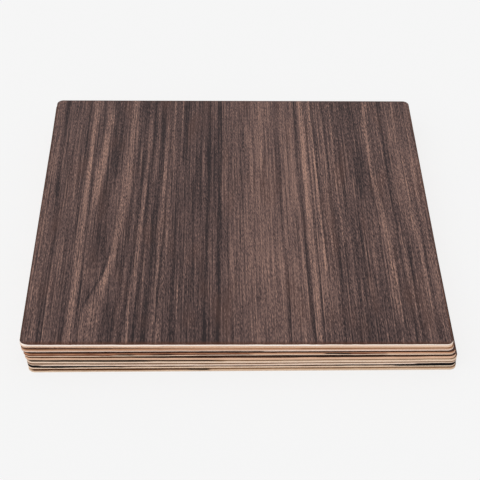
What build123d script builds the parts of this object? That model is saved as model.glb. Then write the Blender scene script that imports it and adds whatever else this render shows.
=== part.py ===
"""Stack of wood-faced plywood sheets that lie flat on each other, in millimetres with +Z up.

The origin is the middle of the bottom sheet's underside, and -Y is the front of the stack.
The sheets are one size of stock. A few have warped across the grain, which runs along Y,
so each one touches its neighbour either along the middle or along its two sides.
"""

import os

from build123d import *

# One sheet: its cut size, the radius of its outline's corners and the bevel that eases its sharp edges
sheet_width = 300.0
sheet_depth = 300.0
sheet_thickness = 3.0
corner_radius = 5.0
edge_ease = 0.2

# The warp of a sheet: how far a crowned middle, or the sides of a cupped sheet, stand up
crown_rise = 0.35
cup_rise = 0.8

# The loose stacking: the air under a sheet where it touches the one below,
# and the furthest that a sheet has slipped sideways, slipped forward or turned (degrees)
settle_gap = 0.05
side_slip = 3.2
forward_slip = 1.5
turn_angle = 0.47

# From the bottom up, each sheet's share of the crown, the cup, the side slip, the forward slip and the turn
sheet_shares = {
    "bottom_sheet": (0, 0, 0, 0, 0),
    "second_sheet": (0, 0, 0.11, -0.21, -0.02),
    "third_sheet": (0, 0.8, 0.14, 0.5, -0.08),
    "fourth_sheet": (0, 0.8, 0.09, 0.78, 0.12),
    "fifth_sheet": (0, 1, 0.35, 1, 0.23),
    "sixth_sheet": (1, 0, 0.61, 0.68, 0.1),
    "seventh_sheet": (0, 0, 1, 0.2, 0.25),
    "top_sheet": (0, 0, 0.98, -0.33, 1),
}


def broad_side(height, bow):
    """Draw a broad side of the sheet's section, straight or as an arc, with its middle at this height."""
    half_width = sheet_width / 2
    start = (-half_width, height - bow)
    end = (half_width, height - bow)
    if bow == 0:
        return Line(start, end)
    return ThreePointArc(start, (0, height), end)


os.makedirs("parts", exist_ok=True)

# Heights are those of the middle of a sheet's underside, and a bow is how far that middle
# stands above the sheet's sides, so a cupped sheet has a negative one
height = 0
bow_below = 0

for sheet_name, shares in sheet_shares.items():
    crown_share, cup_share, side_share, forward_share, turn_share = shares
    bow = crown_rise * crown_share - cup_rise * cup_share

    # A sheet that is more crowned than the one below stands on its sides, which lifts its middle
    height += max(0, bow - bow_below)

    lie = Location(
        (-side_slip * side_share, -forward_slip * forward_share, height),
        (0, 0, -turn_angle * turn_share),
    )
    with BuildPart() as sheet:
        with BuildSketch(Plane(lie * Plane.XZ.location)):
            with BuildLine():
                underside = broad_side(0, bow)
                face = broad_side(sheet_thickness, bow)
                Line(underside @ 0, face @ 0)
                Line(underside @ 1, face @ 1)
            make_face()
        extrude(amount=sheet_depth / 2, both=True)
        fillet(sheet.edges().filter_by(Axis.Z), radius=corner_radius)
        broad_faces = sheet.faces().sort_by(SortBy.AREA)[-2:]
        chamfer(broad_faces.edges(), length=edge_ease)

    sheet.part.label = sheet_name
    export_step(sheet.part, f"parts/{sheet_name}.step")

    height += sheet_thickness + settle_gap
    bow_below = bow
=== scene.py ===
"""Dress a stack of thin wood-faced plywood sheets: dark striped face veneer, pale plies on the sawn edges.

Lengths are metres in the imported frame. A sheet's own places are given in millimetres from its
middle: across, which is X, and along the grain, which is Y with the far edge at the positive end.
"""

import math

import bpy
from mathutils import Matrix, Vector


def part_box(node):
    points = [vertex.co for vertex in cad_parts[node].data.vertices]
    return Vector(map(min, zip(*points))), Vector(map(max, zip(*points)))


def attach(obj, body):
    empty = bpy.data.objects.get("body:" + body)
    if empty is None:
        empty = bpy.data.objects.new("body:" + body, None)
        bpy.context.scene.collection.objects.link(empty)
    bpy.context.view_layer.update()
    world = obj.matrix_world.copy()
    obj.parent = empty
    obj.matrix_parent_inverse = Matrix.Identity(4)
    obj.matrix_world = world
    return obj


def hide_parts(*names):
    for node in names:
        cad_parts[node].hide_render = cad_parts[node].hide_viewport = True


bl_info = {
    "name": "Veneered plywood stack",
    "version": (1, 0, 0),
    "blender": (4, 5, 0),
    "location": "3D View > Sidebar > Plywood",
    "description": "Lays a stack of wood-faced plywood sheets and sets up its floor, light and camera",
    "category": "Add Mesh",
}

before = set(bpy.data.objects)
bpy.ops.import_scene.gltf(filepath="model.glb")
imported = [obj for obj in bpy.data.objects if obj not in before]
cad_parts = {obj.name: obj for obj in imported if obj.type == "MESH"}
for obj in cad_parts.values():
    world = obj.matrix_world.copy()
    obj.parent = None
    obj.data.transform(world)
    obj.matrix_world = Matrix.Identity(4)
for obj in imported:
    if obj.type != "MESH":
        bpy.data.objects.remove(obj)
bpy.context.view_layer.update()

MM = 0.001

# The bottom sheet lies flat and square to the frame, so its box gives the size of the stock
stock_low, stock_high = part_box("bottom_sheet")
STOCK_SIZE = stock_high - stock_low
HALF_MM = STOCK_SIZE.x / MM / 2


def srgb(red, green, blue):
    """Give the linear colour of an on-screen one, whose parts go up to 255."""
    linear = []
    for part in (red, green, blue):
        share = part / 255
        linear.append(share / 12.92 if share <= 0.04045 else ((share + 0.055) / 1.055) ** 2.4)
    return tuple(linear)


def opaque(colour):
    """Give a colour its alpha."""
    return (*colour, 1.0)


# The most that a sheet is turned clockwise, in degrees, and each sheet's share of it from the bottom up
MOST_TURNED = 0.47
TURN_SHARES = {
    "bottom_sheet": 0,
    "second_sheet": -0.02,
    "third_sheet": -0.08,
    "fourth_sheet": 0.12,
    "fifth_sheet": 0.23,
    "sixth_sheet": 0.1,
    "seventh_sheet": 0.25,
    "top_sheet": 1,
}

# The air under each warped sheet in mm, at five places across: left side, left, middle, right and right side
AIR_PLACES = (-1.0, -0.6, 0.0, 0.6, 1.0)
AIR_UNDER = {
    "bottom_sheet": (0.0, 0.0, 0.0, 0.0, 0.0),
    "second_sheet": (0.10, 0.15, 0.05, 0.05, 0.05),
    "third_sheet": (0.75, 0.25, 0.10, 0.35, 0.70),
    "fourth_sheet": (0.05, 0.05, 0.05, 0.05, 0.05),
    "fifth_sheet": (0.10, 0.30, 0.15, 0.05, 0.05),
    "sixth_sheet": (0.05, 0.10, 0.85, 0.60, 0.25),
    "seventh_sheet": (0.40, 0.55, 0.25, 0.35, 0.35),
    "top_sheet": (0.05, 0.10, 0.05, 0.05, 0.05),
}

# How far each sheet's grain is shifted across, in millimetres, so that no two faces are alike
GRAIN_SHIFTS = {
    "bottom_sheet": 83.0,
    "second_sheet": -61.0,
    "third_sheet": 37.0,
    "fourth_sheet": -104.0,
    "fifth_sheet": 22.0,
    "sixth_sheet": -45.0,
    "seventh_sheet": 68.0,
    "top_sheet": 0.0,
}

# How much of the face veneer is worn off along a sheet's front edge, from none at zero to all at one
WORN_FRONTS = {"seventh_sheet": 0.85}

# The edge's plies from the top down: where each one ends, as a share of the thickness, and its set-back in mm
PLY_STEPS = (
    (0.88, 0.0),
    (0.63, 0.03),
    (0.36, 0.06),
    (0.07, 0.03),
)

# Broad zones of the face veneer: places across in mm and how much lighter or darker the wood is there
FACE_ZONES = (
    (-150, -0.08), (-125, -0.03), (-100, -0.02), (-75, -0.12), (-50, -0.11), (-32, -0.14),
    (-18, -0.10), (0, 0.02), (25, 0.12), (50, 0.14), (70, 0.0), (88, -0.13),
    (104, -0.12), (120, -0.03), (135, 0.02), (150, -0.03),
)

# Streaks of the face veneer. Each has a tone, lighter above zero and darker below, a width in mm and the
# places of its middle in mm as (along, across), from its far end to its near end. FULL is the sheet's edge
FULL = HALF_MM
FACE_STREAKS = (
    # Left side: a pale border, a dark line, a plain stretch and a pale band
    (0.10, 7.0, ((FULL, -146.0), (-FULL, -146.0))),
    (-0.30, 3.0, ((FULL, -140.0), (60, -140.0), (20, -139.5))),
    (-0.20, 3.6, ((30, -138.5), (-20, -137.0), (-80, -137.3), (-FULL, -137.6))),
    (0.12, 2.2, ((-30, -141.8), (-FULL, -142.0))),
    (0.16, 1.8, ((-80, -133.8), (-FULL, -134.2))),
    (-0.22, 3.0, ((FULL, -120.5), (0, -121.0), (-60, -122.5), (-FULL, -122.7))),
    (0.27, 4.8, ((FULL, -115.5), (90, -115.3), (0, -116.3), (-60, -116.2), (-FULL, -117.3))),
    (-0.24, 1.8, ((120, -112.5), (0, -112.3), (-FULL, -112.6))),
    (-0.22, 2.6, ((FULL, -108.6), (105, -107.8))),
    (0.22, 1.2, ((65, -110.2), (-105, -110.4))),
    # The flame: a flecked pale streak, a dark tongue, the pale sweep along it and a pale patch in front
    (0.30, 5.0, ((135, -102.0), (95, -104.0), (60, -106.0), (25, -108.0), (5, -109.0))),
    (-0.20, 9.0, ((FULL, -95.0), (80, -96.0), (35, -99.0), (0, -101.5), (-40, -102.0), (-65, -104.0))),
    (-0.20, 4.0, ((110, -98.5), (70, -98.0), (30, -102.5), (0, -105.0))),
    (-0.30, 1.9, ((-42, -93.5), (-56, -94.5), (-77, -98.0), (-93, -103.0), (-107, -108.0), (-113, -109.5))),
    (-0.22, 4.6, ((-86, -106.0), (-105, -107.0))),
    (0.12, 1.6, ((38, -92.5), (3, -93.5))),
    (0.30, 4.8, ((FULL, -82.0), (98, -83.0), (60, -83.5), (20, -85.3), (-2, -87.0), (-32, -89.0),
                 (-60, -92.0), (-78, -95.0), (-92, -98.0))),
    (0.12, 8.0, ((-80, -97.0), (-104, -100.0), (-125, -101.0))),
    (0.17, 11.0, ((-110, -104.5), (-FULL, -104.0))),
    (-0.20, 8.0, ((-108, -91.0), (-FULL, -91.5))),
    # Right of the flame: pale and dark lines that lean with it
    (-0.20, 2.6, ((110, -77.0), (75, -77.6), (25, -79.0), (-25, -81.2), (-75, -84.0), (-FULL, -88.0))),
    (0.12, 2.2, ((85, -74.0), (25, -76.8), (-25, -78.6), (-75, -80.6), (-125, -83.6), (-FULL, -85.2))),
    (-0.20, 2.8, ((FULL, -72.6), (75, -73.0), (25, -74.2), (-25, -75.4), (-75, -77.6), (-FULL, -81.6))),
    (0.14, 2.4, ((FULL, -68.4), (75, -69.2), (20, -70.7))),
    (0.28, 3.0, ((30, -70.5), (-25, -72.6), (-75, -74.3), (-105, -76.2), (-FULL, -78.0))),
    (-0.24, 2.8, ((FULL, -64.8), (75, -66.0), (25, -67.8), (-25, -68.9), (-75, -70.1), (-FULL, -72.6))),
    (0.10, 1.8, ((FULL, -61.6), (75, -63.2), (25, -64.8), (-25, -66.0), (-75, -67.2), (-FULL, -69.4))),
    (-0.30, 3.8, ((FULL, -57.8), (75, -59.0), (25, -60.6), (-25, -61.8), (-75, -63.6), (-FULL, -65.0))),
    (0.26, 2.6, ((115, -53.8), (75, -54.5), (25, -55.7), (-25, -56.5), (-75, -57.7), (-FULL, -60.0))),
    (-0.20, 1.3, ((90, -52.2), (25, -53.6), (-25, -54.4), (-75, -55.9), (-FULL, -57.6))),
    (0.20, 2.2, ((FULL, -48.8), (75, -50.3), (-5, -51.7), (-80, -53.4), (-FULL, -55.4))),
    # Middle left: a dark zone with straight dark lines
    (0.20, 1.6, ((FULL, -42.6), (100, -42.4))),
    (-0.26, 4.0, ((FULL, -39.0), (105, -39.5), (60, -40.5))),
    (-0.20, 3.6, ((10, -45.0), (-FULL, -46.0))),
    (0.20, 1.2, ((-92, -42.4), (-145, -42.8))),
    (-0.20, 3.0, ((40, -32.0), (-105, -32.5))),
    (-0.24, 1.8, ((112, -27.0), (-5, -26.6))),
    (-0.36, 2.6, ((FULL, -20.4), (0, -20.8), (-60, -22.2), (-FULL, -22.8))),
    (-0.18, 1.6, ((80, -15.6), (-40, -16.0))),
    (-0.40, 3.2, ((FULL, -11.4), (0, -12.0), (-60, -12.6), (-FULL, -13.4))),
    # Middle: a paler, even zone
    (-0.10, 1.8, ((40, -5.6), (-110, -5.6))),
    (-0.20, 2.6, ((145, 6.4), (60, 6.0), (0, 5.6))),
    (-0.16, 1.6, ((FULL, 13.2), (105, 13.2))),
    (0.18, 2.4, ((FULL, 21.4), (55, 21.8))),
    (-0.30, 2.8, ((FULL, 36.0), (60, 35.2), (-20, 35.6), (-100, 37.4), (-FULL, 37.8))),
    (-0.14, 1.6, ((FULL, 31.6), (-30, 31.8))),
    (-0.15, 1.6, ((FULL, 43.6), (25, 43.0))),
    # Middle right: the brightest streak between two dark lines, then a finely striped dark zone
    (-0.36, 3.0, ((FULL, 51.4), (60, 52.0), (0, 52.4), (-60, 53.0), (-FULL, 53.6))),
    (0.30, 3.6, ((FULL, 56.6), (-10, 56.8))),
    (0.19, 3.4, ((0, 56.8), (-100, 57.2), (-FULL, 57.8))),
    (-0.24, 1.3, ((FULL, 59.9), (-FULL, 60.8))),
    (0.30, 1.8, ((FULL, 63.6), (60, 64.6), (0, 65.4), (-70, 66.6))),
    (-0.30, 1.8, ((FULL, 66.4), (0, 67.2), (-90, 68.6))),
    (0.16, 1.4, ((FULL, 72.2), (-60, 72.6))),
    (-0.18, 1.6, ((FULL, 75.4), (-FULL, 76.4))),
    (0.18, 1.6, ((FULL, 81.0), (-40, 81.6))),
    (-0.09, 1.8, ((FULL, 85.2), (-120, 86.8))),
    (-0.15, 6.0, ((FULL, 99.0), (15, 99.5))),
    (-0.16, 2.2, ((10, 95.0), (-FULL, 94.6))),
    # Right side: a flecked pale streak, a wandering dark one and a pale border
    (0.26, 4.0, ((148, 112.0), (120, 109.6), (60, 110.0), (20, 112.0), (-5, 113.6), (-60, 115.2),
                 (-125, 116.2))),
    (0.12, 2.2, ((FULL, 120.4), (110, 119.8))),
    (-0.30, 3.0, ((FULL, 123.0), (0, 123.2), (-75, 124.0), (-FULL, 125.2))),
    (-0.26, 2.4, ((10, 126.4), (-75, 129.0), (-FULL, 129.8))),
    (-0.22, 2.0, ((-40, 119.6), (-75, 119.0), (-FULL, 119.0))),
    (0.12, 4.0, ((FULL, 133.0), (95, 133.6))),
    (0.27, 1.8, ((-35, 126.4), (-115, 127.0))),
    (0.18, 2.6, ((40, 135.4), (-35, 136.2))),
    (-0.17, 2.0, ((FULL, 140.2), (0, 141.4), (-FULL, 142.0))),
    (0.05, 5.0, ((FULL, 145.6), (-FULL, 145.6))),
)

# How each sheet's sawn edge looks: the tones of its plies from the top down, the tone of the face veneer's
# line, that line's thickness in mm at the left and right, and how much reddish heartwood is under the face
EDGE_LOOKS = {
    "bottom_sheet": dict(
        plies=((212, 180, 150), (216, 186, 158), (224, 204, 184)),
        veneer=(128, 94, 66),
        line=(0.4, 0.3),
        red=0.0,
    ),
    "second_sheet": dict(
        plies=((208, 176, 148), (226, 198, 174), (244, 218, 194)),
        veneer=(130, 94, 64),
        line=(0.4, 0.35),
        red=0.0,
    ),
    "third_sheet": dict(
        plies=((220, 190, 164), (228, 204, 184), (246, 222, 206)),
        veneer=(136, 100, 74),
        line=(0.35, 0.3),
        red=0.0,
    ),
    "fourth_sheet": dict(
        plies=((228, 202, 178), (226, 200, 176), (236, 212, 192)),
        veneer=(116, 84, 60),
        line=(0.45, 0.25),
        red=0.05,
    ),
    "fifth_sheet": dict(
        plies=((216, 168, 138), (224, 182, 154), (218, 184, 158)),
        veneer=(96, 62, 40),
        line=(0.5, 0.45),
        red=0.1,
    ),
    "sixth_sheet": dict(
        plies=((184, 128, 96), (200, 158, 130), (234, 208, 186)),
        veneer=(110, 68, 46),
        line=(0.3, 0.35),
        red=0.45,
    ),
    "seventh_sheet": dict(
        plies=((190, 140, 110), (204, 166, 142), (244, 222, 208)),
        veneer=(138, 94, 62),
        line=(0.3, 0.35),
        red=0.1,
    ),
    "top_sheet": dict(
        plies=((248, 234, 222), (230, 198, 176), (238, 206, 178)),
        veneer=(104, 62, 34),
        line=(0.5, 0.0),
        red=0.0,
    ),
}

# Marks along the front: the sheet, from where to where across and below the face, all in mm, and the tone.
# The near-black and dark brown marks at the top and the bottom of the edges are painted shade: they darken
# the plies beside the gaps between the sheets, where the gaps' shadow falls. The lighter brown lines are
# partly the face veneer's edge and partly painted shade. The reddish marks in the sixth's middle ply are
# heartwood, dark blots also sit in that ply, and the top sheet's pale marks whiten its upper plies.
FRONT_MARKS_AND_GAP_SHADE = (
    ("bottom_sheet", -150, -22, 0.0, 1.35, (84, 48, 18)),
    ("bottom_sheet", -41, -21, 0.0, 1.7, (10, 5, 2)),
    ("bottom_sheet", -42, 156, 0.35, 0.85, (132, 98, 66)),
    # The second's near-black wedges at both ends are painted shadow of the gap under the third sheet, whose
    # sides are lifted
    ("second_sheet", -158, -136, 0.0, 1.95, (4, 3, 2)),
    ("second_sheet", -144, -112, 0.0, 2.1, (4, 3, 2)),
    ("second_sheet", -122, -80, 0.0, 1.85, (18, 11, 5)),
    ("second_sheet", -90, 70, 0.0, 1.5, (66, 40, 16)),
    ("second_sheet", 62, 116, 0.0, 1.65, (30, 19, 10)),
    ("second_sheet", 104, 158, 0.0, 2.1, (4, 3, 2)),
    ("third_sheet", -152, 156, 0.0, 1.25, (106, 70, 40)),
    # The third's near-black marks along its underside at both ends are painted shadow of the same gap
    ("third_sheet", -158, -138, 2.0, 3.5, (4, 3, 2)),
    ("third_sheet", -146, -86, 2.5, 3.5, (8, 5, 3)),
    ("third_sheet", -96, 80, 2.6, 3.5, (58, 34, 12)),
    ("third_sheet", 70, 158, 2.6, 3.5, (10, 7, 4)),
    ("third_sheet", 118, 158, 2.1, 3.5, (4, 3, 2)),
    ("fourth_sheet", -151, -60, 0.0, 1.4, (36, 24, 14)),
    ("fourth_sheet", -68, -10, 0.0, 1.2, (64, 42, 26)),
    ("fourth_sheet", -22, 150, 0.0, 1.0, (106, 74, 44)),
    ("fifth_sheet", -151, -12, 2.65, 3.5, (48, 32, 20)),
    ("fifth_sheet", -153, -66, 0.0, 0.8, (74, 48, 28)),
    ("fifth_sheet", -76, 98, 0.0, 0.75, (8, 5, 3)),
    ("fifth_sheet", 90, 154, 0.0, 0.75, (44, 30, 20)),
    ("sixth_sheet", -100, -22, 2.7, 3.5, (60, 42, 28)),
    ("sixth_sheet", -32, 104, 2.6, 3.5, (8, 5, 3)),
    ("sixth_sheet", -34, 154, 0.0, 0.35, (34, 23, 16)),
    ("sixth_sheet", -154, -86, 1.1, 2.3, (108, 60, 38)),
    ("sixth_sheet", -96, 10, 0.95, 1.95, (100, 52, 32)),
    ("sixth_sheet", 58, 104, 0.9, 1.9, (100, 52, 34)),
    ("sixth_sheet", -88, -71, 0.75, 2.05, (16, 5, 3)),
    ("sixth_sheet", -64, -44, 0.9, 1.95, (40, 16, 8)),
    ("sixth_sheet", 56, 79, 0.8, 2.05, (22, 8, 4)),
    ("seventh_sheet", -152, -100, 2.55, 3.5, (58, 44, 34)),
    ("seventh_sheet", -112, -20, 2.45, 3.5, (8, 5, 3)),
    ("seventh_sheet", -30, 20, 2.5, 3.5, (16, 10, 7)),
    ("seventh_sheet", -152, -84, 0.0, 0.35, (96, 66, 40)),
    ("seventh_sheet", 40, 152, 0.2, 0.9, (140, 98, 68)),
    ("top_sheet", -152, 156, 0.5, 1.05, (240, 222, 208)),
    ("top_sheet", -152, 60, 0.5, 1.1, (255, 251, 248)),
    ("top_sheet", -152, -50, 1.0, 1.9, (248, 224, 208)),
)

# A mark fades in over this many mm at its ends, and its upper and lower sides are soft to this many mm
MARK_END = 5.0
MARK_SOFT = 0.12

# Strengths of the face's fine grain: lines along it, dashes and flecks, and how dark the pores are
LINE_STRENGTH = 1.4
DASH_STRENGTH = 0.9
FLECK_STRENGTH = 2.5
PORE_DARKNESS = 0.15

# The camera's place in mm, and its turn, its downward pitch and its roll in degrees
CAMERA_PLACE = (-24.44, -830.59, 682.59)
CAMERA_AIM = (-1.76, 39.601, 0.89)

# The soft light's direction, towards it, and how wide it is in degrees
KEY_FROM = (-0.45, -0.75, 1.0)
KEY_SPREAD = 70.0

# How much of the floor's brightness is its own, so that the rest shows the shadow
FLOOR_GLOW = 0.85


class SheetSizes(bpy.types.PropertyGroup):
    """Sizes of one sheet of the stock."""

    width: bpy.props.FloatProperty(
        name="Width", description="Size across the grain", default=STOCK_SIZE.x, unit="LENGTH")
    depth: bpy.props.FloatProperty(
        name="Depth", description="Size along the grain", default=STOCK_SIZE.y, unit="LENGTH")
    thickness: bpy.props.FloatProperty(
        name="Thickness", description="From the underside to the face",
        default=STOCK_SIZE.z, unit="LENGTH")
    corner_radius: bpy.props.FloatProperty(
        name="Corner radius", description="Radius of the outline's corners",
        default=5 * MM, unit="LENGTH")
    edge_ease: bpy.props.FloatProperty(
        name="Eased edge", description="Width of the bevel along the sharp edges",
        default=0.2 * MM, unit="LENGTH")


class FaceFinish(bpy.types.PropertyGroup):
    """Colours of the dark face veneer."""

    dark: bpy.props.FloatVectorProperty(
        name="Dark", description="Late wood and the darkest lines",
        subtype="COLOR", default=srgb(40, 30, 31))
    middle: bpy.props.FloatVectorProperty(
        name="Middle", description="Most of the face",
        subtype="COLOR", default=srgb(89, 69, 66))
    light: bpy.props.FloatVectorProperty(
        name="Light", description="Pale streaks and flecks",
        subtype="COLOR", default=srgb(144, 113, 102))
    fleck: bpy.props.FloatVectorProperty(
        name="Fleck", description="The palest flecks",
        subtype="COLOR", default=srgb(172, 134, 116))
    rim: bpy.props.FloatVectorProperty(
        name="Rim", description="The veneer right along the cut",
        subtype="COLOR", default=srgb(80, 46, 28))
    worn: bpy.props.FloatVectorProperty(
        name="Worn", description="Bare wood where the veneer is gone",
        subtype="COLOR", default=srgb(214, 182, 158))
    reddish: bpy.props.FloatVectorProperty(
        name="Reddish", description="Warm patches between the streaks",
        subtype="COLOR", default=srgb(88, 62, 54))


class EdgeFinish(bpy.types.PropertyGroup):
    """Colours of the sawn edges and the underside."""

    veneer: bpy.props.FloatVectorProperty(
        name="Eased veneer", description="The face's veneer on the eased edge",
        subtype="COLOR", default=srgb(66, 50, 47))
    glue: bpy.props.FloatVectorProperty(
        name="Glue line", description="Line between two plies",
        subtype="COLOR", default=srgb(152, 108, 74))
    heartwood: bpy.props.FloatVectorProperty(
        name="Heartwood", description="Reddish wood in a middle ply",
        subtype="COLOR", default=srgb(112, 64, 44))
    underside: bpy.props.FloatVectorProperty(
        name="Underside", description="Plain pale veneer",
        subtype="COLOR", default=srgb(206, 176, 150))


class StageLook(bpy.types.PropertyGroup):
    """Floor, light and camera."""

    floor: bpy.props.FloatVectorProperty(
        name="Floor", description="Colour of the floor and the backdrop",
        subtype="COLOR", default=srgb(246, 246, 246))
    sky: bpy.props.FloatProperty(
        name="Sky", description="Strength of the even light from all sides", default=0.72)
    key: bpy.props.FloatProperty(
        name="Key", description="Strength of the soft light from the front", default=1.1)
    lens: bpy.props.FloatProperty(
        name="Lens", description="Focal length of the camera",
        default=102.84, subtype="DISTANCE_CAMERA")


class Wire:
    """An output socket of a node tree: sums on it are plain expressions, and node() adds any other node."""

    def __init__(self, tree, socket=None):
        self.tree = tree
        self.socket = socket

    def node(self, kind, settings=None, sockets=None, output=0):
        """Add a node, with its settings first and then the values or links of its sockets."""
        added = self.tree.nodes.new(kind)
        for name, value in (settings or {}).items():
            if name == "stops":
                set_stops(added.color_ramp, value)
            elif name == "points":
                set_points(added.mapping, value)
            else:
                setattr(added, name, value)
        for key, value in (sockets or {}).items():
            for one in value if isinstance(value, list) else [value]:
                if isinstance(one, Wire):
                    self.tree.links.new(one.socket, added.inputs[key])
                else:
                    added.inputs[key].default_value = one
        return Wire(self.tree, added.outputs[output] if added.outputs else None)

    def output(self, name):
        """Give another output of the same node."""
        return Wire(self.tree, self.socket.node.outputs[name])

    def math(self, operation, *values):
        """Add a Math node on these values."""
        return self.node("ShaderNodeMath", {"operation": operation}, dict(enumerate(values)))

    def __add__(self, other):
        return self.math("ADD", self, other)

    def __sub__(self, other):
        return self.math("SUBTRACT", self, other)

    def __rsub__(self, other):
        return self.math("SUBTRACT", other, self)

    def __mul__(self, other):
        return self.math("MULTIPLY", self, other)

    def __truediv__(self, other):
        return self.math("DIVIDE", self, other)

    def __gt__(self, other):
        return self.math("GREATER_THAN", self, other)

    def __lt__(self, other):
        return self.math("LESS_THAN", self, other)

    def __abs__(self):
        return self.math("ABSOLUTE", self)

    __radd__ = __add__
    __rmul__ = __mul__

    def at_least(self, other):
        """Give the larger of two values."""
        return self.math("MAXIMUM", self, other)

    def between(self, start, end, low=0.0, high=1.0, shape="SMOOTHSTEP"):
        """Go from low to high as this value goes from start to end."""
        sockets = {"Value": self, "From Min": start, "From Max": end, "To Min": low, "To Max": high}
        return self.node("ShaderNodeMapRange", {"interpolation_type": shape}, sockets)

    def parts(self):
        """Give the three parts of a vector."""
        split = self.node("ShaderNodeSeparateXYZ", sockets={0: self})
        return split, split.output("Y"), split.output("Z")

    def vector(self, x, y, z):
        """Join three values to a vector."""
        return self.node("ShaderNodeCombineXYZ", sockets={0: x, 1: y, 2: z})

    def noise(self, point, detail=2.0, roughness=0.5):
        """Give smooth noise at a point whose parts are already divided by the size of the pattern."""
        sockets = {"Vector": point, "Scale": 1.0, "Detail": detail, "Roughness": roughness}
        return self.node("ShaderNodeTexNoise", sockets=sockets)

    def grain(self, across, along, width, length, seed, detail=2.0, roughness=0.5):
        """Give noise about zero, drawn out along the grain in patches this wide and long in millimetres."""
        point = self.vector(across / width, along / length, seed)
        return self.noise(point, detail, roughness) - 0.5

    def attribute(self, name, output="Fac"):
        """Read a named attribute of the mesh in a material."""
        return self.node("ShaderNodeAttribute", {"attribute_name": name}, output=output)

    def store(self, geometry, name, value, kind):
        """Keep a value on a mesh as a named attribute, in a geometry tree."""
        sockets = {"Geometry": geometry, "Name": name, "Value": value}
        return self.node("GeometryNodeStoreNamedAttribute", {"data_type": kind}, sockets)

    def stored(self, name):
        """Read a vector that was kept on a mesh, in a geometry tree."""
        settings = {"data_type": "FLOAT_VECTOR"}
        return self.node("GeometryNodeInputNamedAttribute", settings, {"Name": name})

    def mix(self, share, first, second):
        """Go from the first colour to the second with a share."""
        settings = {"data_type": "RGBA"}
        return self.node("ShaderNodeMix", settings, {0: share, 6: first, 7: second}, output=2)


def set_stops(ramp, stops):
    """Give a colour ramp its stops."""
    while len(ramp.elements) > 1:
        ramp.elements.remove(ramp.elements[-1])
    ramp.elements[0].position = stops[0][0]
    ramp.elements[0].color = stops[0][1]
    for position, colour in stops[1:]:
        ramp.elements.new(position).color = colour


def set_points(mapping, points):
    """Give a curve its points, which are joined by smooth bends."""
    curve = mapping.curves[0]
    curve.points[0].location = points[0]
    curve.points[1].location = points[-1]
    for point in points[1:-1]:
        curve.points.new(*point)
    mapping.extend = "HORIZONTAL"
    mapping.update()


def new_material(name):
    """Make a material and give its shader node and a wire to build on."""
    material = bpy.data.materials.new(name)
    material.use_nodes = True
    shader = material.node_tree.nodes["Principled BSDF"]
    return material, shader, Wire(material.node_tree)


def connect(bench, shader, colour, roughness, height, strength, depth, gloss):
    """Give a shader its colour, its roughness, its relief from a height and its gloss."""
    relief = {"Strength": strength, "Distance": depth, "Height": height}
    bump = bench.node("ShaderNodeBump", sockets=relief, output="Normal")
    for wire, socket in ((colour, "Base Color"), (roughness, "Roughness"), (bump, "Normal")):
        bench.tree.links.new(wire.socket, shader.inputs[socket])
    shader.inputs["Specular IOR Level"].default_value = gloss


def sheet_place(bench):
    """Give the across, along and upward place on a sheet, in millimetres in its own frame."""
    return [part * (1 / MM) for part in bench.attribute("sheet_place", "Vector").parts()]


def streak_mask(bench, across, along, along_share, streak):
    """Give a streak's tone along its middle and zero beside it, faded out at ends inside the sheet."""
    strength, width, path = streak
    half_fade = 11.0
    gone_at = 0.78 * width
    full_to = 0.22 * width
    far, near = path[0], path[-1]
    if len(path) == 2 and far[1] == near[1]:
        middle = far[1]
    else:
        points = [[(place + HALF_MM) / (2 * HALF_MM) for place in point] for point in reversed(path)]
        curve = bench.node("ShaderNodeFloatCurve", {"points": points}, {"Value": along_share})
        middle = bench.math("MULTIPLY_ADD", curve, 2 * HALF_MM, -HALF_MM)
    mask = abs(across - middle).between(gone_at, full_to, 0.0, strength)
    if far[0] < HALF_MM:
        mask = mask * along.between(far[0] + half_fade, far[0] - half_fade)
    if near[0] > -HALF_MM:
        mask = mask * along.between(near[0] - half_fade, near[0] + half_fade)
    return mask


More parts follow.
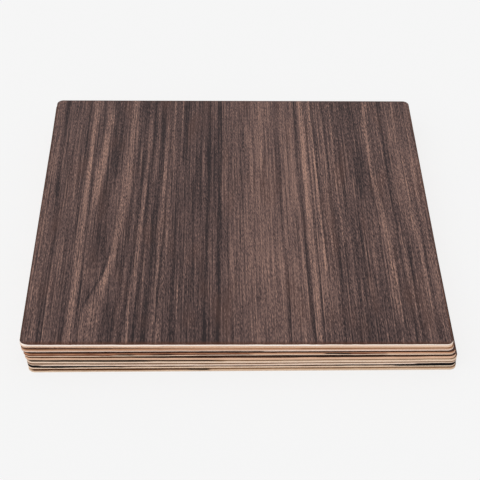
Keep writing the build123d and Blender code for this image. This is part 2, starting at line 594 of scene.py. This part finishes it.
def face_veneer(finish):
    """Make the dark face veneer: long streaks, fine grain lines, flecks and open pores."""
    material, shader, bench = new_material("dark_face_veneer")
    across, along, _up = sheet_place(bench)
    shift = bench.attribute("grain_shift")
    across = across + shift

    # The streaks wander a little, with ragged sides
    wander = bench.grain(across, along, width=9.0, length=60.0, seed=3.0) * 0.7
    ragged = bench.grain(across, along, width=1.0, length=90.0, seed=7.0, detail=1.0)
    drifted = across + wander + ragged

    # Broad zones, clouds, and painted shade that darkens the face a little towards the near and far edges
    across_share = bench.math("MULTIPLY_ADD", drifted, 0.5 / HALF_MM, 0.5)
    along_share = bench.math("MULTIPLY_ADD", along, 0.5 / HALF_MM, 0.5)
    zones = [((place + HALF_MM) / (2 * HALF_MM), 0.5 + tone) for place, tone in FACE_ZONES]
    tone = bench.node("ShaderNodeFloatCurve", {"points": zones}, {"Value": across_share})
    tone = tone + bench.grain(across, along, width=30.0, length=120.0, seed=1.0) * 0.10
    # Painted shade: the face is darker towards its near and far edges
    tone = tone - abs(along - 10.0).between(80.0, HALF_MM, 0.0, 0.07)

    # The streaks, which are stronger and weaker by turns
    streaks = 0.0
    for streak in FACE_STREAKS:
        streaks = streak_mask(bench, drifted, along, along_share, streak) + streaks
    turns = bench.grain(across, along, width=1.3, length=80.0, seed=11.0)
    tone = tone + streaks * turns.between(-0.2, 0.2, 0.65, 1.25)

    # Fine lines run far along the grain, dashes come and go, and flecks are strongest in the pale streaks.
    # The flecks lean, and each line shifts those on it, so that they don't stand in rows
    lines = bench.grain(drifted, along, width=1.1, length=120.0, seed=67.0)
    dashes = bench.grain(across, along, width=0.8, length=40.0, seed=23.0)
    leaning = across + along * 0.075
    shifted = along + lines * 24.0
    flecks = bench.grain(leaning, shifted, width=0.75, length=3.0, seed=29.0)
    paleness = streaks.between(-0.05, 0.3, 0.8, 1.2)
    fine_grain = lines * LINE_STRENGTH + dashes * DASH_STRENGTH + flecks * paleness * FLECK_STRENGTH
    tone = tone + fine_grain * across.between(45.0, 70.0, 1.0, 1.2)

    # Pores are short dark dashes
    pores = bench.grain(across, along, width=0.6, length=9.0, seed=31.0, detail=1.0).between(0.08, 0.20)
    tone = tone - pores * PORE_DARKNESS

    palest_tone = 1.25
    stops = (
        (0.0, opaque(finish.dark)),
        (0.37, opaque(finish.middle)),
        (0.8, opaque(finish.light)),
        (1.0, opaque(finish.fleck)),
    )
    ramp = bench.node("ShaderNodeValToRGB", {"stops": stops}, {"Fac": tone / palest_tone})
    warm = bench.grain(across, along, width=16.0, length=70.0, seed=37.0).between(0.0, 0.25, 0.0, 0.45)
    colour = bench.mix(warm * (1.0 - tone.between(0.45, 0.8)), ramp, opaque(finish.reddish))

    # The veneer is darker and browner along the cut, most widely in front
    in_sheet = across - shift
    to_front = along * -1.0
    rim = abs(in_sheet).at_least(abs(along)).between(HALF_MM - 1.3, HALF_MM - 0.4) * 0.8
    front_rim = to_front.between(HALF_MM - 4.0, HALF_MM - 0.8) * 0.65
    colour = bench.mix(rim.at_least(front_rim), colour, opaque(finish.rim))

    # A worn front is bare for its last two millimetres, with a line of veneer left along the left half's cut
    worn = bench.attribute("worn_front")
    left_over = in_sheet.between(-HALF_MM, 0.0, 1.7, -0.1, "LINEAR")
    worn = worn * to_front.between(HALF_MM - 2.2, HALF_MM - 1.8)
    worn = worn * (to_front + left_over).between(HALF_MM + 0.1, HALF_MM - 0.1)
    colour = bench.mix(worn, colour, opaque(finish.worn))

    height = dashes * 0.5 - pores
    roughness = 0.58 + pores * 0.2 + dashes * 0.15
    connect(bench, shader, colour, roughness, height, strength=0.35, depth=0.06 * MM, gloss=0.15)
    return material


def mark_and_gap_shade_share(mark, across, below, patches, facing_front, round_corner):
    """Give how much of a front mark shows; most marks are painted shade beside the gaps. One along a broad
    side goes round the corner and thins out, as the shade of a gap that closes.
    """
    _sheet, start, end, top, bottom, _tone = mark
    share = across.between(start, start + MARK_END) * across.between(end, end - MARK_END)
    upper_side = top
    lower_side = bottom * patches.between(0.3, 0.7, 0.92, 1.08)
    if not top:
        lower_side = lower_side * round_corner
        share = share * round_corner.between(0.0, 0.2)
    elif bottom > STOCK_SIZE.z / MM:
        upper_side = bottom - round_corner * (bottom - top)
    else:
        share = share * facing_front
    share = share * (below - lower_side).between(MARK_SOFT, -MARK_SOFT)
    if top:
        share = share * (below - upper_side).between(-MARK_SOFT, MARK_SOFT)
    return share


def sawn_edge(name, look, finish):
    """Make one sheet's sawn edge: the line of the face veneer, then the pale plies and their glue lines."""
    material, shader, bench = new_material(name + "_sawn_edge")
    across, along, up = sheet_place(bench)
    out_across, out_along, _out_up = bench.attribute("outward", "Vector").parts()
    facing_side = abs(out_across) > 0.7
    facing_front = out_along.between(-0.1, -0.35)
    round_corner = along.between(-100.0, -148.0)
    run = across + (along - across) * facing_side

    # Each sheet has its own part of the noise
    seed_step = 5.3
    seed = list(TURN_SHARES).index(name) * seed_step

    # Depths are in mm below the face, and the ply lines waver along the edge
    depth = STOCK_SIZE.z / MM - up
    waver = bench.noise(bench.vector(run / 14.0, seed, facing_side)) - 0.5
    below = depth + waver * 0.5

    end_grain = bench.noise(bench.vector(run / 0.8, up / 0.3, seed + 1), 3.0, 0.65)
    long_grain = bench.noise(bench.vector(run / 9.0, up / 0.15, seed + 2), 3.0, 0.6)
    patches = bench.noise(bench.vector(run / 20.0, up / 2.5, seed + 3), 2.0)

    upper, core, lower = [opaque(srgb(*tone)) for tone in look["plies"]]
    colour = bench.mix(below.between(1.85, 2.1), core, lower)
    colour = bench.mix(below.between(1.0, 0.8), colour, upper)

    # Reddish heartwood comes and goes under the face, and the grain of the plies shows as short dashes
    rarity = 0.26 * look["red"]
    red_share = patches.between(0.66 - rarity, 0.84 - rarity) * below.between(1.7, 1.2)
    colour = bench.mix(red_share * min(1.0, 2 * look["red"]), colour, opaque(finish.heartwood))
    colour = bench.mix(long_grain.between(0.5, 0.8) * 0.55, colour, opaque(finish.glue))
    colour = bench.mix(end_grain.between(0.52, 0.8) * 0.5, colour, opaque(finish.glue))

    # Thin glue lines lie at both sides of the middle ply
    for glue_depth in (0.95, 1.95):
        line = abs(below - glue_depth).between(0.16, 0.06) * patches.between(0.3, 0.65, 0.15, 0.6)
        colour = bench.mix(line, colour, opaque(finish.glue))

    # The face veneer's edge, which is gone at the near left corner
    left, right = look["line"]
    line_width = across.between(-HALF_MM, HALF_MM, left, right, "LINEAR")
    line_width = line_width * patches.between(0.3, 0.7, 0.7, 1.3)
    kept = 1.0 - across.between(-143.0, -147.0) * along.between(-138.0, -143.0)
    veneer_line = (below - line_width).between(0.06, -0.06) * kept
    colour = bench.mix(veneer_line, colour, opaque(srgb(*look["veneer"])))
    eased = depth.between(0.24, 0.2) * (1.0 - facing_front) * kept
    colour = bench.mix(eased, colour, opaque(finish.veneer))

    # The marks along the front, most of them painted shade beside the gaps between the sheets
    for mark in FRONT_MARKS_AND_GAP_SHADE:
        if mark[0] == name:
            share = mark_and_gap_shade_share(mark, across, below, patches, facing_front, round_corner)
            colour = bench.mix(share, colour, opaque(srgb(*mark[-1])))

    roughness = 0.72 + end_grain * 0.15
    connect(bench, shader, colour, roughness, end_grain, strength=0.3, depth=0.05 * MM, gloss=0.15)
    return material


def pale_underside(finish):
    """Make the plain pale veneer under a sheet, with long faint grain."""
    material, shader, bench = new_material("pale_underside_veneer")
    across, along, _up = sheet_place(bench)
    bands = bench.grain(across, along, width=12.0, length=140.0, seed=41.0, detail=3.0, roughness=0.6)
    lines = bench.grain(across, along, width=1.2, length=60.0, seed=43.0, detail=3.0, roughness=0.6)
    pores = bench.grain(across, along, width=0.5, length=6.0, seed=47.0, detail=1.0).between(0.12, 0.22)
    shade = bands * 0.5 + lines * 0.5 + pores * 0.2
    darker = tuple(part * 0.72 for part in finish.underside)
    lighter = tuple(min(1.0, part * 1.12) for part in finish.underside)
    colour = bench.mix(shade.between(-0.2, 0.25), opaque(lighter), opaque(darker))
    roughness = 0.62 + pores * 0.2
    connect(bench, shader, colour, roughness, shade, strength=0.3, depth=0.05 * MM, gloss=0.25)
    return material


SHEET_INPUTS = {
    "Width": "NodeSocketFloat",
    "Depth": "NodeSocketFloat",
    "Thickness": "NodeSocketFloat",
    "Corner Radius": "NodeSocketFloat",
    "Edge Ease": "NodeSocketFloat",
    "Rise 1": "NodeSocketFloat",
    "Rise 2": "NodeSocketFloat",
    "Rise 3": "NodeSocketFloat",
    "Rise 4": "NodeSocketFloat",
    "Rise 5": "NodeSocketFloat",
    "Place": "NodeSocketVector",
    "Turn": "NodeSocketVector",
    "Grain Shift": "NodeSocketFloat",
    "Worn Front": "NodeSocketFloat",
    "Face": "NodeSocketMaterial",
    "Edge": "NodeSocketMaterial",
    "Underside": "NodeSocketMaterial",
}


def sheet_tree():
    """Build the node tree that shapes one sheet from its sizes, warps it and lays it in the stack."""
    tree = bpy.data.node_groups.new("plywood_sheet", "GeometryNodeTree")
    for name, kind in SHEET_INPUTS.items():
        tree.interface.new_socket(name, in_out="INPUT", socket_type=kind)
    tree.interface.new_socket("Geometry", in_out="OUTPUT", socket_type="NodeSocketGeometry")
    bench = Wire(tree)
    given = bench.node("NodeGroupInput")
    width, depth = given.output("Width"), given.output("Depth")
    thickness, ease = given.output("Thickness"), given.output("Edge Ease")
    radius = given.output("Corner Radius")

    # A grid of evenly spaced lines, of which each corner takes its own few
    corner_lines = 6
    straight_lines = 26
    lines = 2 * corner_lines + straight_lines
    straight_end = 0.5 * straight_lines / lines
    grid = bench.node("GeometryNodeMeshGrid", sockets={
        "Size X": 1.0, "Size Y": 1.0, "Vertices X": lines + 1, "Vertices Y": lines + 1})
    position = bench.node("GeometryNodeInputPosition")
    signs, straights, corners = [], [], []
    for share, size in zip(position.parts(), (width, depth)):
        signs.append(share.math("SIGN", share))
        reach = abs(share)
        straights.append(reach.between(0.0, straight_end, 0.0, size * 0.5 - radius, "LINEAR"))
        corners.append(reach.between(straight_end, 0.5, shape="LINEAR"))

    # In a corner the square of lines is drawn in to a quarter of a circle
    longest = corners[0].at_least(corners[1])
    diagonal = bench.math("SQRT", corners[0] * corners[0] + corners[1] * corners[1])
    draw_in = longest / diagonal.at_least(1e-6)
    outs = [sign * corner * draw_in for sign, corner in zip(signs, corners)]
    flats = [sign * straight + out * (radius - ease) for sign, straight, out in zip(signs, straights, outs)]
    outward = bench.vector(outs[0], outs[1], 0.0)
    grid = bench.store(grid, "outward", outward, "FLOAT_VECTOR")
    face = bench.node("GeometryNodeSetPosition", sockets={
        "Geometry": grid, "Position": bench.vector(flats[0], flats[1], thickness)})

    # The edge goes down from the face's rim in steps: over the eased edge, down each ply and under
    outward = bench.stored("outward")
    faces_beside = bench.node("GeometryNodeInputMeshEdgeNeighbors")
    rim = faces_beside < 1.5
    profile = [(ease, thickness - ease)]
    for ply, (end_share, set_back) in enumerate(PLY_STEPS):
        inset = ease - set_back * MM
        if ply:
            profile.append((inset, thickness * PLY_STEPS[ply - 1][0]))
        profile.append((inset, thickness * end_share))
    profile.append((ease, thickness * PLY_STEPS[-1][0]))
    profile.append((ease, ease))
    profile.append((0.0, 0.0))
    shape = face
    last_out, last_height = 0.0, thickness
    for out, height in profile:
        extruded = bench.node("GeometryNodeExtrudeMesh", {"mode": "EDGES"}, {
            "Mesh": shape, "Selection": rim, "Offset Scale": 0.0})
        rim = extruded.output("Top")
        step_out = bench.node("ShaderNodeVectorMath", {"operation": "SCALE"}, {
            "Vector": outward, "Scale": out - last_out})
        step = bench.node("ShaderNodeVectorMath", {"operation": "ADD"}, {
            0: step_out, 1: bench.vector(0.0, 0.0, height - last_height)})
        shape = bench.node("GeometryNodeSetPosition", sockets={
            "Geometry": extruded, "Selection": rim, "Offset": step})
        last_out, last_height = out, height

    # The underside is the face again, turned over, and closes the shape
    lowered = bench.node("GeometryNodeSetPosition", sockets={
        "Geometry": face, "Offset": bench.vector(0.0, 0.0, thickness * -1.0)})
    underside = bench.node("GeometryNodeFlipFaces", sockets={"Mesh": lowered})
    joined = bench.node("GeometryNodeJoinGeometry", sockets={"Geometry": [shape, underside]})
    closed = bench.node("GeometryNodeMergeByDistance", sockets={"Geometry": joined, "Distance": 0.01 * MM})

    # Keep the flat place for the finish, then warp the sheet across the grain and lay it
    kept = bench.store(closed, "sheet_place", position, "FLOAT_VECTOR")
    kept = bench.store(kept, "grain_shift", given.output("Grain Shift"), "FLOAT")
    kept = bench.store(kept, "worn_front", given.output("Worn Front"), "FLOAT")
    from_middle = position.parts()[0] * 2.0 / width
    rises = [given.output(f"Rise {number}") for number in range(1, len(AIR_PLACES) + 1)]
    rise = rises[0]
    for number in range(1, len(rises)):
        step = rises[number] - rises[number - 1]
        rise = rise + from_middle.between(AIR_PLACES[number - 1], AIR_PLACES[number]) * step
    bowed = bench.node("GeometryNodeSetPosition", sockets={
        "Geometry": kept, "Offset": bench.vector(0.0, 0.0, rise)})
    laid = bench.node("GeometryNodeTransform", sockets={
        "Geometry": bowed, "Translation": given.output("Place"), "Rotation": given.output("Turn")})
    smooth = bench.node("GeometryNodeSetShadeSmooth", {"domain": "FACE"}, {
        "Geometry": laid, "Shade Smooth": True})
    sharp = bench.node("GeometryNodeInputMeshEdgeAngle") > math.radians(25)
    shaded = bench.node("GeometryNodeSetShadeSmooth", {"domain": "EDGE"}, {
        "Geometry": smooth, "Selection": sharp, "Shade Smooth": False})

    # The finish: the edge all over, then the face and the underside
    level = bench.stored("sheet_place").parts()[2] / thickness
    finished = bench.node("GeometryNodeRealizeInstances", sockets={"Geometry": shaded})
    for where, name in ((None, "Edge"), (level > 0.999, "Face"), (level < 0.001, "Underside")):
        sockets = {"Geometry": finished, "Material": given.output(name)}
        if where:
            sockets["Selection"] = where
        finished = bench.node("GeometryNodeSetMaterial", sockets=sockets)
    bench.node("NodeGroupOutput", sockets={"Geometry": finished})
    return tree


def make_piece(name, tree, values):
    """Make a plain mesh object from a node tree and the values of its named inputs."""
    piece = bpy.data.objects.new(name, bpy.data.meshes.new(name))
    bpy.context.scene.collection.objects.link(piece)
    modifier = piece.modifiers.new("shape", "NODES")
    modifier.node_group = tree
    for item in tree.interface.items_tree:
        if item.in_out == "INPUT":
            modifier[item.identifier] = values[item.name]
    depsgraph = bpy.context.evaluated_depsgraph_get()
    mesh = bpy.data.meshes.new_from_object(
        piece.evaluated_get(depsgraph), preserve_all_data_layers=True, depsgraph=depsgraph)
    piece.modifiers.remove(modifier)
    piece.data = mesh
    return piece


class LaySheets(bpy.types.Operator):
    """Shape, finish and lay all the sheets of the stack"""

    bl_idname = "plywood.lay_sheets"
    bl_label = "Lay sheets"

    def execute(self, context):
        sizes = context.scene.plywood_sizes
        tree = sheet_tree()
        face = face_veneer(context.scene.plywood_face)
        underside = pale_underside(context.scene.plywood_edge)
        rises = [0.0] * len(AIR_PLACES)
        for node, turn_share in TURN_SHARES.items():
            low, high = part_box(node)
            middle = (low + high) / 2
            rises = [rise + air * MM for rise, air in zip(rises, AIR_UNDER[node])]
            values = {
                "Width": sizes.width,
                "Depth": sizes.depth,
                "Thickness": sizes.thickness,
                "Corner Radius": sizes.corner_radius,
                "Edge Ease": sizes.edge_ease,
                "Place": (middle.x, middle.y, 0.0),
                "Turn": (0.0, 0.0, math.radians(-MOST_TURNED * turn_share)),
                "Grain Shift": GRAIN_SHIFTS[node],
                "Worn Front": WORN_FRONTS.get(node, 0.0),
                "Face": face,
                "Edge": sawn_edge(node, EDGE_LOOKS[node], context.scene.plywood_edge),
                "Underside": underside,
            }
            for number, rise in enumerate(rises, 1):
                values[f"Rise {number}"] = rise
            piece = make_piece("veneered_" + node, tree, values)
            rises = [rise + sizes.thickness for rise in rises]
            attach(piece, "root")
            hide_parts(node)
        return {"FINISHED"}


def seen_directly(bench):
    """Give one for rays that come from the camera, straight or by way of a mirror or glass."""
    ray = bench.node("ShaderNodeLightPath", output="Is Camera Ray")
    return ray.at_least(ray.output("Is Glossy Ray")).at_least(ray.output("Is Transmission Ray"))


def pale_floor(colour):
    """Make the floor's finish: pale to the camera, with a part of the shadow that falls on it."""
    material, shader, bench = new_material("pale_floor")
    shader.inputs["Base Color"].default_value = opaque(colour)
    shader.inputs["Roughness"].default_value = 1.0
    shader.inputs["Specular IOR Level"].default_value = 0.0
    glow = bench.node("ShaderNodeEmission", sockets={"Color": opaque(colour), "Strength": 1.0})
    lit = Wire(bench.tree, shader.outputs["BSDF"])
    blend = bench.node("ShaderNodeMixShader", sockets={0: seen_directly(bench) * FLOOR_GLOW, 1: lit, 2: glow})
    bench.tree.links.new(blend.socket, bench.tree.nodes["Material Output"].inputs["Surface"])
    return material


class SetStage(bpy.types.Operator):
    """Set the floor, the light and the camera"""

    bl_idname = "plywood.set_stage"
    bl_label = "Set stage"

    def execute(self, context):
        look = context.scene.plywood_stage
        self.lay_floor(context, look)
        self.light(context, look)
        self.place_camera(context, look)
        context.scene.view_settings.view_transform = "Standard"
        return {"FINISHED"}

    def lay_floor(self, context, look):
        """Lay a wide floor just under the bottom sheet."""
        reach = 6.0
        height = -0.02 * MM
        signs = ((-1, -1), (1, -1), (1, 1), (-1, 1))
        corners = [(sign_x * reach, sign_y * reach, height) for sign_x, sign_y in signs]
        mesh = bpy.data.meshes.new("floor")
        mesh.from_pydata(corners, [], [(0, 1, 2, 3)])
        mesh.materials.append(pale_floor(look.floor))
        floor = bpy.data.objects.new("floor", mesh)
        context.scene.collection.objects.link(floor)

    def light(self, context, look):
        """Light the stack evenly from all sides, with a soft light from the front left."""
        world = bpy.data.worlds.new("even_sky")
        world.use_nodes = True
        bench = Wire(world.node_tree)
        background = world.node_tree.nodes["Background"]
        seen = seen_directly(bench)
        colour = bench.mix(seen, opaque((look.sky,) * 3), opaque(look.floor))
        bench.tree.links.new(colour.socket, background.inputs["Color"])
        context.scene.world = world

        lamp = bpy.data.lights.new("soft_key", "SUN")
        lamp.energy = look.key
        lamp.angle = math.radians(KEY_SPREAD)
        key = bpy.data.objects.new("soft_key", lamp)
        key.rotation_euler = Vector(KEY_FROM).to_track_quat("Z", "Y").to_euler()
        context.scene.collection.objects.link(key)

    def place_camera(self, context, look):
        """Set the camera in front of the stack and above it, looking down at the face."""
        place = Vector(CAMERA_PLACE) * MM
        turn, pitch, roll = (math.radians(angle) for angle in CAMERA_AIM)
        camera = bpy.data.objects.new("camera", bpy.data.cameras.new("camera"))
        camera.data.sensor_width = 36.0
        camera.data.lens = look.lens
        camera.data.clip_start = 0.01
        camera.data.clip_end = 50.0
        aim = Matrix.Rotation(turn, 4, "Z") @ Matrix.Rotation(math.pi / 2 - pitch, 4, "X")
        camera.matrix_world = Matrix.Translation(place) @ aim @ Matrix.Rotation(roll, 4, "Z")
        context.scene.collection.objects.link(camera)
        context.scene.camera = camera


class PlywoodPanel(bpy.types.Panel):
    """Lists the steps and the settings of the stack"""

    bl_idname = "VIEW3D_PT_plywood"
    bl_label = "Plywood stack"
    bl_space_type = "VIEW_3D"
    bl_region_type = "UI"
    bl_category = "Plywood"

    def draw(self, context):
        layout = self.layout
        for operator in OPERATORS:
            layout.operator(operator.bl_idname)
        for name in SETTINGS:
            group = getattr(context.scene, name)
            box = layout.box()
            for key in group.bl_rna.properties.keys():
                if key not in ("rna_type", "name"):
                    box.prop(group, key)


OPERATORS = (LaySheets, SetStage)
SETTINGS = {
    "plywood_sizes": SheetSizes,
    "plywood_face": FaceFinish,
    "plywood_edge": EdgeFinish,
    "plywood_stage": StageLook,
}


def register():
    """Register the settings, the operators and the panel."""
    for group in SETTINGS.values():
        bpy.utils.register_class(group)
    for name, group in SETTINGS.items():
        setattr(bpy.types.Scene, name, bpy.props.PointerProperty(type=group))
    for operator in OPERATORS:
        bpy.utils.register_class(operator)
    bpy.utils.register_class(PlywoodPanel)


def unregister():
    """Take back all that register() added."""
    bpy.utils.unregister_class(PlywoodPanel)
    for operator in reversed(OPERATORS):
        bpy.utils.unregister_class(operator)
    for name in SETTINGS:
        delattr(bpy.types.Scene, name)
    for group in reversed(SETTINGS.values()):
        bpy.utils.unregister_class(group)


def main():
    """Make the stack and its stage."""
    register()
    bpy.ops.plywood.lay_sheets()
    bpy.ops.plywood.set_stage()


if __name__ == "__main__":
    main()
